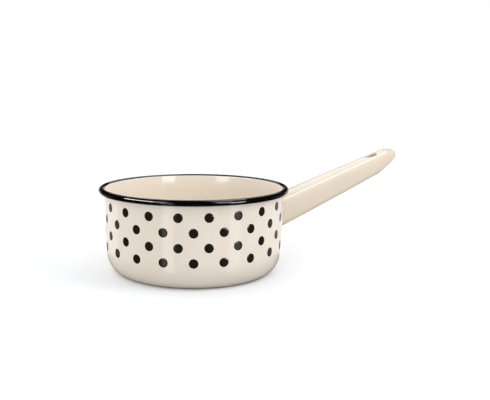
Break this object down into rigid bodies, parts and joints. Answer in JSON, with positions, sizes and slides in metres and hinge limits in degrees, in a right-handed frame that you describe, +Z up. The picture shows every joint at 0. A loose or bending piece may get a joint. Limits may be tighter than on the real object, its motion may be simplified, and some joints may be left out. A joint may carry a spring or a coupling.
{
  "type": "saucepan",
  "caption": "Round enamelled steel saucepan with a rounded lower corner, a rolled black rim and a hollow tapered handle that rises to a bevelled end with a hanging slot.",
  "frame": {"origin": "middle of the flat base, on the pan's axis", "axes": "+X along the handle, away from the pan; +Z up along the pan's axis"},
  "size_m": [0.3312, 0.1742, 0.1016],
  "materials": {
    "steel_bowl": "satin",
    "inner_enamel": "gloss",
    "outer_enamel": "gloss",
    "rim_enamel": "gloss",
    "handle_upper_pressing": "satin",
    "handle_lower_pressing": "satin",
    "seam_weld": "matte",
    "root_weld": "matte",
    "handle_enamel": "gloss"
  },
  "bodies": {
    "root": {"steel_bowl": "steel_bowl", "inner_enamel": "inner_enamel", "outer_enamel": "outer_enamel", "rim_enamel": "rim_enamel", "handle_upper_pressing": "handle_upper_pressing", "handle_lower_pressing": "handle_lower_pressing", "seam_weld": "seam_weld", "root_weld": "root_weld", "handle_enamel": "handle_enamel"}
  },
  "joints": []
}
